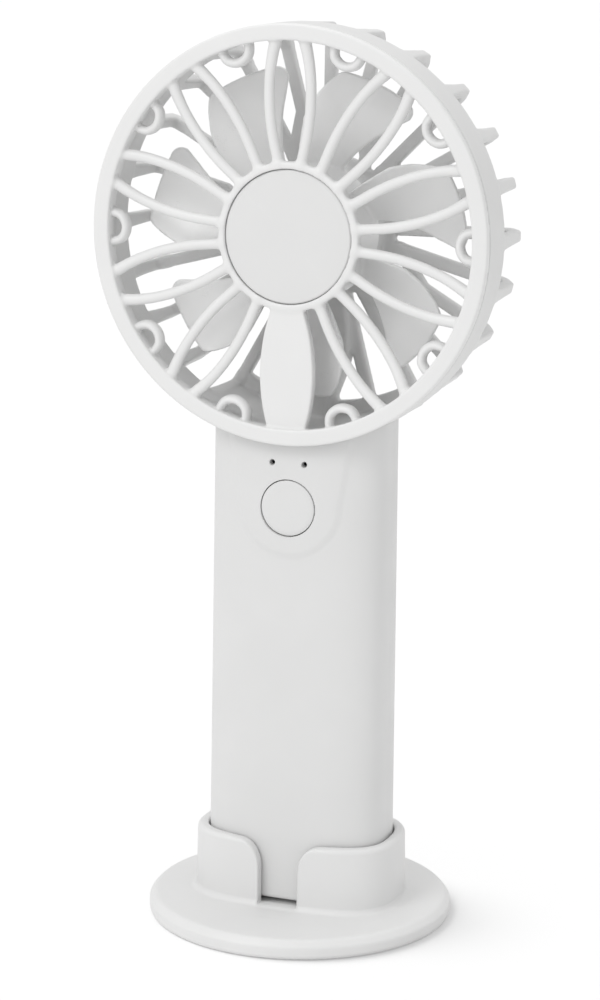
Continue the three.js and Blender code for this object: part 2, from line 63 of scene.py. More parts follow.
# ---------------------------------------------------------------------------
# driving dimensions, millimetres, the same as the CAD part's
# ---------------------------------------------------------------------------
HZ = 162.8
R_HEAD, R_HEAD_IN, R_RING = 47.5, 44.6, 44.1
Y_FRONT, Y_CAP, Y_SKIRT, Y_DRUM, Y_REAR = -14.0, -12.2, -9.5, -0.9, 15.5
HANDLE_Z0, HANDLE_BR = 5.6, 15.5
HANDLE_A, HANDLE_A_TOP = 21.75, 21.3        # half width at the foot and at the neck
HANDLE_BF, HANDLE_BF_TOP = 12.0, 10.3       # front depth at the foot and at the neck
R_NECK = 47.05                              # the handle's top is cut round the head at this radius
Y_SEAM, WALL = 8.0, 1.8
BUTTON_Z, BUTTON_R = 100.1, 6.5
LED_X, LED_Z = 3.93, 110.6
COLLAR_Z = 20.4
D2R = math.pi / 180


# ---------------------------------------------------------------------------
# rounded solids as distance fields, in millimetres
# ---------------------------------------------------------------------------
def smin(a, b, k):
    if k <= 0:
        return np.minimum(a, b)
    h = np.clip(0.5 + 0.5 * (b - a) / k, 0, 1)
    return b + (a - b) * h - k * h * (1 - h)


def smax(a, b, k):
    return -smin(-a, -b, k)


def both(a, b, r):
    """Inside both, with the edge between them rounded to radius r."""
    return np.minimum(np.maximum(a, b), -r) + np.hypot(np.maximum(a + r, 0), np.maximum(b + r, 0))


def fillet_poly(points, steps=5):
    """Polygon corners [x, y, radius] rounded off."""
    out, n = [], len(points)
    for i in range(n):
        p0, p1, p2 = (np.array(points[j][:2], float) for j in (i - 1, i, (i + 1) % n))
        r = points[i][2] if len(points[i]) > 2 else 0
        if r <= 0:
            out.append(p1)
            continue
        a, b = p0 - p1, p2 - p1
        la, lb = np.hypot(*a), np.hypot(*b)
        a, b = a / la, b / lb
        half = math.acos(max(-1, min(1, float(a @ b)))) / 2
        t = min(r / math.tan(half), la * 0.49, lb * 0.49)
        r = t * math.tan(half)
        c = p1 + (a + b) / np.hypot(*(a + b)) * (r / math.sin(half))
        s, e = p1 + a * t - c, p1 + b * t - c
        a0, a1 = math.atan2(s[1], s[0]), math.atan2(e[1], e[0])
        d = (a1 - a0 + math.pi) % (2 * math.pi) - math.pi
        for k in range(steps + 1):
            q = a0 + d * k / steps
            out.append(c + r * np.array([math.cos(q), math.sin(q)]))
    return np.array(out)


def poly2(points):
    P = np.array(points, float)

    def f(u, v):
        d, inside = None, False
        for i in range(len(P)):
            a, b = P[i - 1], P[i]
            e = b - a
            L = float(e @ e)
            if L < 1e-12:
                continue
            wx, wy = u - a[0], v - a[1]
            t = np.clip((wx * e[0] + wy * e[1]) / L, 0, 1)
            dd = (wx - e[0] * t) ** 2 + (wy - e[1] * t) ** 2
            d = dd if d is None else np.minimum(d, dd)
            if b[1] != a[1]:
                inside = inside ^ (((v >= a[1]) != (v >= b[1])) & (u < e[0] * (v - a[1]) / e[1] + a[0]))
        s = np.sqrt(d)
        return np.where(inside, -s, s)

    return f


def turned_y(points, steps=5):
    """Turned about the head's axis: corners are [radius, y, fillet]."""
    P = fillet_poly(points, steps)
    g = poly2(P)
    rm = P[:, 0].max()
    f = lambda X, Y, Z: g(np.hypot(X, Z - HZ), Y)
    return f, (-rm, P[:, 1].min(), HZ - rm), (rm, P[:, 1].max(), HZ + rm)


def turned_z(points, steps=5, x=0.0, y=0.0):
    P = fillet_poly(points, steps)
    g = poly2(P)
    rm = P[:, 0].max()
    f = lambda X, Y, Z: g(np.hypot(X - x, Y - y), Z)
    return f, (x - rm, y - rm, P[:, 1].min()), (x + rm, y + rm, P[:, 1].max())


def spline(points, n=5):
    """Smooth curve through rows of numbers."""
    P = np.array(points, float)
    Q = np.vstack([2 * P[0] - P[1], P, 2 * P[-1] - P[-2]])
    out = []
    for i in range(1, len(Q) - 2):
        p0, p1, p2, p3 = Q[i - 1], Q[i], Q[i + 1], Q[i + 2]
        for k in range(n):
            t = k / n
            out.append(0.5 * (2 * p1 + (p2 - p0) * t + (2 * p0 - 5 * p1 + 4 * p2 - p3) * t * t + (3 * p1 - p0 - 3 * p2 + p3) * t ** 3))
    out.append(P[-1])
    return np.array(out)


def rod(points, radius, deep=1.0):
    """Round rod through 3-D points. radius is one number or one per point; deep stretches it along Y."""
    P = np.array(points, float)
    R = np.full(len(P), radius, float) if np.ndim(radius) == 0 else np.array(radius, float)

    def f(X, Y, Z):
        best = None
        for i in range(len(P) - 1):
            a, b = P[i], P[i + 1]
            e = (b - a) * (1, 1 / deep, 1)
            px, py, pz = X - a[0], (Y - a[1]) / deep, Z - a[2]
            t = np.clip((px * e[0] + py * e[1] + pz * e[2]) / float(e @ e), 0, 1)
            d = np.sqrt((px - e[0] * t) ** 2 + (py - e[1] * t) ** 2 + (pz - e[2] * t) ** 2) - (R[i] + (R[i + 1] - R[i]) * t)
            best = d if best is None else np.minimum(best, d)
        return best

    m = R.max() * max(1, deep)
    return f, P.min(0) - m, P.max(0) + m


def strip(points, half, y0, y1, r):
    """Flat-sided rib along (x, z) points, from y0 to y1, half its half width, edges rounded to r."""
    P = np.array(points, float)
    W = np.full(len(P), half, float) if np.ndim(half) == 0 else np.array(half, float)
    yc, yh = (y0 + y1) / 2, (y1 - y0) / 2

    def f(X, Y, Z):
        best = None
        for i in range(len(P) - 1):
            a, b = P[i], P[i + 1]
            e = b - a
            px, pz = X - a[0], Z - a[1]
            t = np.clip((px * e[0] + pz * e[1]) / float(e @ e), 0, 1)
            d = np.hypot(px - e[0] * t, pz - e[1] * t) - (W[i] + (W[i + 1] - W[i]) * t)
            best = d if best is None else np.minimum(best, d)
        return both(best, np.abs(Y - yc) - yh, r)

    m = W.max()
    return f, (P[:, 0].min() - m, y0, P[:, 1].min() - m), (P[:, 0].max() + m, y1, P[:, 1].max() + m)


def slab(points, y0, y1, r):
    """Flat plate with an (x, z) outline, from y0 to y1, edges rounded to r."""
    P = np.array(points, float)
    g = poly2(P)
    yc, yh = (y0 + y1) / 2, (y1 - y0) / 2
    f = lambda X, Y, Z: both(g(X, Z), np.abs(Y - yc) - yh, r)
    return f, (P[:, 0].min(), y0, P[:, 1].min()), (P[:, 0].max(), y1, P[:, 1].max())


def brick(x0, x1, y0, y1, z0, z1, r=0.0):
    c = ((x0 + x1) / 2, (y0 + y1) / 2, (z0 + z1) / 2)
    h = ((x1 - x0) / 2 - r, (y1 - y0) / 2 - r, (z1 - z0) / 2 - r)

    def f(X, Y, Z):
        a, b, d = np.abs(X - c[0]) - h[0], np.abs(Y - c[1]) - h[1], np.abs(Z - c[2]) - h[2]
        out = np.sqrt(np.maximum(a, 0) ** 2 + np.maximum(b, 0) ** 2 + np.maximum(d, 0) ** 2)
        return out + np.minimum(np.maximum(np.maximum(a, b), d), 0) - r

    return f, (x0, y0, z0), (x1, y1, z1)


def peg(r, y0, y1, x, z, edge=0.0):
    """Cylinder along Y."""
    yc, yh = (y0 + y1) / 2, (y1 - y0) / 2
    f = lambda X, Y, Z: both(np.hypot(X - x, Z - z) - r, np.abs(Y - yc) - yh, edge)
    return f, (x - r, y0, z - r), (x + r, y1, z + r)


def section(X, Y, inset=0.0, Z=20.0):
    """Distance to the handle's outline at height Z, smaller by inset all round."""
    k = np.clip((Z - 20.0) / 95.0, 0, 1.1)
    a = HANDLE_A + (HANDLE_A_TOP - HANDLE_A) * k - inset
    front = Y < 0
    b = np.where(front, HANDLE_BF + (HANDLE_BF_TOP - HANDLE_BF) * k - inset, HANDLE_BR - inset)
    e = np.where(front, 3.0, 2.8)
    u, v = np.abs(X) / a + 1e-9, np.abs(Y) / b + 1e-9
    s = u ** e + v ** e
    g = s ** (1 / e)
    dg = s ** (1 / e - 1)
    gx, gy = dg * u ** (e - 1) / a, dg * v ** (e - 1) / b
    return (g - 1) / np.sqrt(gx * gx + gy * gy)


def polar(r, deg, y, off=0.0):
    """Radius, degrees anticlockwise from +X seen from the front, depth, sideways offset."""
    c, s = math.cos(deg * D2R), math.sin(deg * D2R)
    return (r * c - off * s, y, HZ + r * s + off * c)


class Field:
    """A solid made by adding and cutting shapes, each (function, low corner, high corner)."""

    def __init__(self):
        self.ops = []

    def add(self, shape, k=0.0):
        self.ops.append(("add", shape, k))
        return self

    def cut(self, shape, k=0.0):
        self.ops.append(("cut", shape, k))
        return self

    def clip(self, f, k=0.0):
        self.ops.append(("clip", (f, None, None), k))
        return self

    def grid(self, xs, ys, zs):
        F = np.full((len(xs), len(ys), len(zs)), 30.0, np.float32)
        for kind, (f, lo, hi), k in self.ops:
            if kind == "clip":
                sel = (slice(None),) * 3
            else:
                sel = []
                for a, l, h in zip((xs, ys, zs), lo, hi):
                    step = np.diff(a).max()
                    m = k + 2.2 * step + 0.2
                    i0, i1 = np.searchsorted(a, l - m), np.searchsorted(a, h + m)
                    sel.append(slice(max(0, i0 - 1), i1 + 1))
                sel = tuple(sel)
            X, Y, Z = xs[sel[0]][:, None, None], ys[sel[1]][None, :, None], zs[sel[2]][None, None, :]
            if 0 in (X.size, Y.size, Z.size):
                continue
            d = f(X, Y, Z)
            part = F[sel]
            F[sel] = smin(part, d, k) if kind == "add" else smax(part, -d if kind == "cut" else d, k)
        return F

    def at(self, P):
        F = np.full(len(P), 30.0)
        X, Y, Z = P[:, 0], P[:, 1], P[:, 2]
        for kind, (f, lo, hi), k in self.ops:
            if kind == "clip":
                F = smax(F, f(X, Y, Z), k)
                continue
            m = k + 1.2
            on = (X > lo[0] - m) & (X < hi[0] + m) & (Y > lo[1] - m) & (Y < hi[1] + m) & (Z > lo[2] - m) & (Z < hi[2] + m)
            if not on.any():
                continue
            d = f(X[on], Y[on], Z[on])
            F[on] = smin(F[on], d, k) if kind == "add" else smax(F[on], -d, k)
        return F

    def slope(self, P, e=0.06):
        T = np.array([(1, -1, -1), (-1, -1, 1), (-1, 1, -1), (1, 1, 1)], float)
        G = sum(t * self.at(P + t * e)[:, None] for t in T)
        L = np.linalg.norm(G, axis=1, keepdims=True)
        return G / np.maximum(L, 1e-9), L[:, 0] / (4 * e)


def steps(*spans):
    """Grid lines from spans of (start, end, spacing)."""
    out = []
    for a, b, h in spans:
        n = max(1, int(math.ceil((b - a) / h - 1e-6)))
        out += [a + (b - a) * i / n for i in range(n)]
    out.append(spans[-1][1])
    return np.array(out)


CORNERS = np.array([(i, j, k) for i in (0, 1) for j in (0, 1) for k in (0, 1)])
EDGES = [(a, b) for a in range(8) for b in range(a + 1, 8) if np.abs(CORNERS[a] - CORNERS[b]).sum() == 1]


def skin(field, xs, ys, zs, relax=2, jog=1.0):
    """Closed quad mesh of the field's surface: (points in mm, quads)."""
    F = field.grid(xs, ys, zs)
    F = np.where(np.abs(F) < 1e-5, 1e-5, F)
    inside = F < 0
    c = inside.astype(np.uint8)
    s = sum(c[i:c.shape[0] - 1 + i, j:c.shape[1] - 1 + j, k:c.shape[2] - 1 + k] for i, j, k in CORNERS)
    act = (s > 0) & (s < 8)
    cells = np.argwhere(act)
    ids = np.full(act.shape, -1, np.int64)
    ids[act] = np.arange(len(cells))
    V = np.stack([F[tuple((cells + o).T)] for o in CORNERS], 1).astype(float)
    acc, num = np.zeros((len(cells), 3)), np.zeros(len(cells))
    for a, b in EDGES:
        on = (V[:, a] < 0) != (V[:, b] < 0)
        t = V[on, a] / (V[on, a] - V[on, b])
        acc[on] += CORNERS[a] + t[:, None] * (CORNERS[b] - CORNERS[a])
        num[on] += 1
    acc /= num[:, None]
    P = np.empty((len(cells), 3))
    size = np.empty((len(cells), 3))
    for ax, g in enumerate((xs, ys, zs)):
        d = np.diff(g)[cells[:, ax]]
        P[:, ax] = g[cells[:, ax]] + acc[:, ax] * d
        size[:, ax] = d
    quads = []
    for ax in range(3):
        lo_s, hi_s = [slice(None)] * 3, [slice(None)] * 3
        lo_s[ax], hi_s[ax] = slice(0, -1), slice(1, None)
        a, b = inside[tuple(lo_s)], inside[tuple(hi_s)]
        e = np.argwhere(a != b)
        o1, o2 = [x for x in range(3) if x != ax]
        keep = (e[:, o1] > 0) & (e[:, o2] > 0) & (e[:, o1] < inside.shape[o1] - 1) & (e[:, o2] < inside.shape[o2] - 1)
        e = e[keep]
        q = []
        for d1, d2 in ((1, 1), (0, 1), (0, 0), (1, 0)):
            m = e.copy()
            m[:, o1] -= d1
            m[:, o2] -= d2
            q.append(ids[tuple(m.T)])
        q = np.stack(q, 1)
        flip = a[tuple(e.T)] == (ax == 1)
        q[flip] = q[flip][:, ::-1]
        quads.append(q)
    Q = np.vstack(quads)
    E = np.vstack([Q[:, [0, 1]], Q[:, [1, 2]], Q[:, [2, 3]], Q[:, [3, 0]]])
    E = np.unique(np.sort(E, 1), axis=0)
    n = len(P)
    deg = np.bincount(E.ravel(), minlength=n).astype(float)
    limit = size.min(1) * 0.6

    def settle(P, times):
        for _ in range(times):
            N, L = field.slope(P)
            d = field.at(P) / np.maximum(L, 0.35)
            P = P - N * np.clip(d, -limit, limit)[:, None]
        return P

    P = settle(P, 1)
    for _ in range(relax):
        avg = np.stack([np.bincount(E[:, 0], P[E[:, 1], i], n) + np.bincount(E[:, 1], P[E[:, 0], i], n) for i in range(3)], 1) / deg[:, None]
        step = (avg - P) * 0.5
        step = np.clip(step, -0.3 * size, 0.3 * size)
        P = settle(P + step, 1)
    P = settle(P, 1)
    return P, Q


def to_object(name, P, Q, normals=None):
    """Mesh object from points in millimetres and quads."""
    mesh = bpy.data.meshes.new(name)
    mesh.vertices.add(len(P))
    P = np.clip(np.asarray(P), (-47.5, -36.0, 0.02), (47.5, 36.0, 210.3))
    mesh.vertices.foreach_set("co", (P * MM).astype(np.float32).ravel())
    k = Q.shape[1]
    mesh.loops.add(Q.size)
    mesh.loops.foreach_set("vertex_index", Q.astype(np.int32).ravel())
    mesh.polygons.add(len(Q))
    mesh.polygons.foreach_set("loop_start", np.arange(0, Q.size, k, dtype=np.int32))
    mesh.polygons.foreach_set("use_smooth", np.ones(len(Q), bool))
    mesh.update(calc_edges=True)
    mesh.validate()
    if normals is not None:
        mesh.normals_split_custom_set_from_vertices([tuple(n) for n in normals])
    o = bpy.data.objects.new(name, mesh)
    bpy.context.scene.collection.objects.link(o)
    return o


def turn_mesh(name, profile, axis="y", centre=(0, 0, 0), seg=160, sharp=None):
    """Turned piece with a closed, rounded profile [radius, along, fillet] that starts and ends on the axis."""
    pts = fillet_poly(profile, 6)
    pts = pts[np.r_[True, np.hypot(*(pts[1:] - pts[:-1]).T) > 1e-6]]
    first = int(np.argmin(np.abs(pts[:, 0]) * 1000 + np.arange(len(pts)) * 1e-6))
    pts = np.roll(pts, -first, 0)
    closed = pts[:, 0].min() > 1e-6
    a = 2 * math.pi * np.arange(seg) / seg
    P, idx = [], []
    for r, h in pts:
        if r < 1e-6:
            idx.append([len(P)] * seg)
            P.append((0, 0, h))
        else:
            idx.append(list(range(len(P), len(P) + seg)))
            P += [(r * math.cos(t), r * math.sin(t), h) for t in a]
    P = np.array(P, float)
    if axis == "y":                      # (u, v, h) -> (u, h, -v) keeps it right-handed
        P = np.stack([P[:, 0], P[:, 2], -P[:, 1]], 1)
    P += centre
    faces = []
    rows = len(pts)
    for i in range(rows if closed else rows - 1):
        A, B = idx[i], idx[(i + 1) % rows]
        for j in range(seg):
            k = (j + 1) % seg
            f = [A[j], A[k], B[k], B[j]]
            g = [f[0]] + [v for m, v in enumerate(f[1:], 1) if v != f[m - 1]]
            if g[0] == g[-1]:
                g = g[:-1]
            if len(g) > 2:
                faces.append(g)
    mesh = bpy.data.meshes.new(name)
    mesh.from_pydata([tuple(p * MM) for p in P], [], faces)
    mesh.update()
    import bmesh
    bm = bmesh.new()
    bm.from_mesh(mesh)
    bmesh.ops.recalc_face_normals(bm, faces=bm.faces)
    for f in bm.faces:
        f.smooth = True
    for e in bm.edges:
        if len(e.link_faces) == 2 and e.calc_face_angle(0) > (sharp or 0.6):
            e.smooth = False
    bm.to_mesh(mesh)
    bm.free()
    o = bpy.data.objects.new(name, mesh)
    bpy.context.scene.collection.objects.link(o)
    return o


# ---------------------------------------------------------------------------
# materials
# ---------------------------------------------------------------------------
def shade(name, color, rough, metal=0.0, grain=0.00012, grain_depth=0.012, tone=0.02, rough_var=0.06, wear=0.05,
          corner_dust_and_shade=0.06, coat=0.0, sss=0.0, brushed=None, spec=0.5, mottle=0.006):
    """Moulded, rubbery or metal surface: fine grain, uneven gloss and tone, rubbed edges, and corners darkened with
    painted shade and a faint dust tint.
    """
    m = bpy.data.materials.new(name)
    m.use_nodes = True
    nt = m.node_tree
    N, L = nt.nodes, nt.links
    b = N["Principled BSDF"]
    b.inputs["Metallic"].default_value = metal
    b.inputs["Specular IOR Level"].default_value = spec
    if coat:
        b.inputs["Coat Weight"].default_value = coat
        b.inputs["Coat Roughness"].default_value = 0.25
    if sss:
        b.inputs["Subsurface Weight"].default_value = sss
        b.inputs["Subsurface Scale"].default_value = 0.0012
        b.inputs["Subsurface Radius"].default_value = (1.0, 0.9, 0.8)
    tc = N.new("ShaderNodeTexCoord")

    def noise(size, detail=3.0, rough_=0.55, vec=None):
        n = N.new("ShaderNodeTexNoise")
        n.inputs["Scale"].default_value = 1.0 / size
        n.inputs["Detail"].default_value = detail
        n.inputs["Roughness"].default_value = rough_
        L.new(vec or tc.outputs["Object"], n.inputs["Vector"])
        return n.outputs["Fac"]

    def ramp(fac, a, b_, lo, hi):
        r = N.new("ShaderNodeMapRange")
        r.inputs["From Min"].default_value, r.inputs["From Max"].default_value = a, b_
        r.inputs["To Min"].default_value, r.inputs["To Max"].default_value = lo, hi
        L.new(fac, r.inputs["Value"])
        return r.outputs["Result"]

    def mix(fac, A, B):
        x = N.new("ShaderNodeMix")
        x.data_type = "RGBA"
        L.new(fac, x.inputs["Factor"])
        for sock, v in ((x.inputs[6], A), (x.inputs[7], B)):
            if isinstance(v, tuple):
                sock.default_value = (*v, 1)
            else:
                L.new(v, sock)
        return x.outputs[2]

    c = np.array(color)
    base = mix(ramp(noise(0.022, 2.0), 0.3, 0.7, 0, 1), tuple(c * (1 - tone)), tuple(np.minimum(c * (1 + tone * 0.6), 1)))
    base = mix(ramp(noise(mottle, 4.0), 0.35, 0.75, 0, 0.5), base, tuple(c * (1 - tone * 0.8)))
    geo = N.new("ShaderNodeNewGeometry")
    if wear or corner_dust_and_shade:
        edge = ramp(geo.outputs["Pointiness"], 0.515, 0.62, 0, 1)
        # painted shade: concave corners (low pointiness) are darkened, with a faint dust tint
        corner_shade_mask = ramp(geo.outputs["Pointiness"], 0.485, 0.40, 0, 1)
        scr = ramp(noise(0.0016, 5.0, 0.7), 0.42, 0.62, 0, 1)
        mul = N.new("ShaderNodeMath"); mul.operation = "MULTIPLY"
        L.new(edge, mul.inputs[0]); L.new(scr, mul.inputs[1])
        mw = N.new("ShaderNodeMath"); mw.operation = "MULTIPLY"; mw.inputs[1].default_value = min(1, wear * 6)
        L.new(mul.outputs[0], mw.inputs[0])
        base = mix(mw.outputs[0], base, tuple(np.minimum(c * (1 + wear) + wear * 0.25, 0.95)))
        corner_shade_mix = N.new("ShaderNodeMath"); corner_shade_mix.operation = "MULTIPLY"; corner_shade_mix.inputs[1].default_value = min(1, corner_dust_and_shade * 8)
        L.new(corner_shade_mask, corner_shade_mix.inputs[0])
        base = mix(corner_shade_mix.outputs[0], base, tuple(c * (1 - corner_dust_and_shade * 2) * np.array([1, 0.995, 0.985])))
    L.new(base, b.inputs["Base Color"])
    vec = None
    if brushed is not None:
        mp = N.new("ShaderNodeMapping")
        mp.inputs["Scale"].default_value = brushed
        L.new(tc.outputs["Object"], mp.inputs["Vector"])
        vec = mp.outputs["Vector"]
    fine = noise(grain, 2.0, 0.6, vec)
    wide = noise(0.009, 3.0)
    add = N.new("ShaderNodeMath"); add.operation = "ADD"
    L.new(ramp(wide, 0.3, 0.7, rough - rough_var, rough + rough_var), add.inputs[0])
    L.new(ramp(fine, 0.3, 0.7, -0.03, 0.03), add.inputs[1])
    L.new(add.outputs[0], b.inputs["Roughness"])
    bump = N.new("ShaderNodeBump")
    bump.inputs["Strength"].default_value = 0.35
    bump.inputs["Distance"].default_value = grain_depth * MM
    L.new(fine, bump.inputs["Height"])
    bump2 = N.new("ShaderNodeBump")
    bump2.inputs["Strength"].default_value = 0.25
    bump2.inputs["Distance"].default_value = 0.03 * MM
    L.new(noise(0.004, 2.0), bump2.inputs["Height"])
    L.new(bump.outputs["Normal"], bump2.inputs["Normal"])
    L.new(bump2.outputs["Normal"], b.inputs["Normal"])
    return m


MAT = {
    "white_plastic": shade("white_abs", (0.655, 0.655, 0.652), 0.46),
    # painted light: the stand is a lighter copy of the white ABS, brightening its up-facing top
    "stand_plastic_painted_light": shade("stand_abs_painted_light", (0.69, 0.69, 0.687), 0.48),
    # painted light: the grille is a lighter copy of the white ABS, standing in for more light on the front ring
    "grille_plastic_painted_light": shade("grille_abs_painted_light", (0.708, 0.708, 0.705), 0.44),
    # painted light: the rotor is lighter than the white ABS, standing in for light reaching the blades inside the head
    "rotor_plastic": shade("rotor_abs_painted_light", (0.80, 0.80, 0.797), 0.34, grain=0.0003, grain_depth=0.006, sss=0.0),
    "badge_plastic": shade("badge_abs", (0.657, 0.657, 0.654), 0.38, grain=0.00016, grain_depth=0.008, tone=0.012),
    "foot_rubber": shade("foot_rubber", (0.20, 0.20, 0.20), 0.82, grain=0.0004, grain_depth=0.05, tone=0.12, wear=0.02, spec=0.3),
    "bright_steel": shade("bright_steel", (0.62, 0.62, 0.63), 0.28, 1.0, grain=0.00025, tone=0.06, rough_var=0.1, wear=0.08, corner_dust_and_shade=0.1),
    "black_plastic": shade("black_abs", (0.028, 0.028, 0.03), 0.5, tone=0.15, wear=0.02),
    "board_green": shade("board_mask", (0.016, 0.13, 0.045), 0.35, grain=0.0005, grain_depth=0.03, tone=0.2, coat=0.4),
    "led_body": shade("led_body", (0.78, 0.74, 0.52), 0.3, tone=0.05),
    "light_guide": shade("light_guide", (0.014, 0.014, 0.015), 0.3, grain=0.0005, grain_depth=0.004, tone=0.1, coat=0.5),
    "cell_wrap": shade("cell_wrap", (0.05, 0.16, 0.34), 0.32, grain=0.0006, grain_depth=0.02, tone=0.08, coat=0.3),
    "lead_red": shade("lead_red", (0.42, 0.02, 0.02), 0.45, tone=0.08),
    "lead_black": shade("lead_black", (0.02, 0.02, 0.02), 0.5, tone=0.1),
    "magnet_ferrite": shade("magnet_ferrite", (0.035, 0.035, 0.038), 0.66, grain=0.0003, grain_depth=0.05, tone=0.15),
    "winding_copper": shade("winding_copper", (0.44, 0.16, 0.06), 0.34, 0.9, grain=0.0003, grain_depth=0.08, brushed=(1, 1, 6), tone=0.1),
    "bearing_bronze": shade("bearing_bronze", (0.45, 0.30, 0.11), 0.4, 1.0, grain=0.0003, tone=0.1),
}


def finish_piece(o, slot, body, *nodes, finish=None):
    o.data.materials.clear()
    o.data.materials.append(MAT[finish or slot])
    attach(o, body)
    if nodes:
        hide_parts(*nodes)
    print(f"{o.name}: {len(o.data.polygons)} faces, {time.time() - T0:.1f} s")
    return o


# ---------------------------------------------------------------------------
# grille
# ---------------------------------------------------------------------------
def front_grille():
    F = Field()
    F.add(turned_y([[R_RING, Y_SKIRT, .15], [45.0, Y_SKIRT, .15], [45.0, Y_CAP, 0], [R_HEAD, Y_CAP, .12], [R_HEAD, Y_FRONT, .38],
                    [R_RING - 0.35, Y_FRONT, 0.4]], 6))
    F.add(turned_y([[-20, -12.9], [16.9, -12.9, .6], [16.9, -10.2, .4], [-20, -10.2]], 5), 0)
    bars = [(15.9, 2.7, -11.55, 1.35), (18.2, 3.15, -11.6, 1.22), (22.5, 4.1, -11.7, 1.2), (27, 4.75, -11.75, 1.2), (32, 5.0, -11.8, 1.2),
            (37, 4.75, -11.85, 1.22), (41, 4.1, -11.95, 1.3), (42.6, 3.7, -12.0, 1.35), (43.6, 3.5, -12.0, 1.35)]
    for k in range(10):
        mid = 90 + 36 * k
        if k == 5:
            continue
        for side in (-1, 1):
            c = spline(bars, 3)
            pts = [polar(r, mid, y, o * side) for r, o, y, _ in c]
            F.add(rod(pts, [q[3] for q in c]), 1.0)
    w = spline([(15.2, 3.7), (17.5, 4.25), (21, 5.25), (25, 6.0), (30, 6.45), (34, 6.4), (38, 5.95), (41.5, 5.25), (44.9, 4.3)], 4)
    out = [(h, HZ - r) for r, h in w] + [(-h, HZ - r) for r, h in w[::-1]]
    F.add(slab(out, -12.75, -10.3, 0.45), 0.7)
    loop = spline([(43.9, -3.35), (43.0, -3.25), (41.5, -2.65), (40.6, -1.4), (40.3, 0),
                   (40.6, 1.4), (41.5, 2.65), (43.0, 3.25), (43.9, 3.35)], 3)
    for k in range(10):
        mid = 72 + 36 * k
        F.add(rod([polar(r, mid, -11.1, o) for r, o in loop], 1.05, 1.6), 0.35)
    F.cut(peg(15.30, -20, -11.35, 0, HZ, 0.0), 0.12)
    h = 0.40
    P, Q = skin(F, steps((-48.4, 48.4, h)), steps((-14.9, -8.7, h * 0.92)), steps((HZ - 48.4, HZ + 48.4, h)))
    return finish_piece(to_object("grille_moulding", P, Q), "white_plastic", "fan_body", "front_guard", finish="grille_plastic_painted_light")


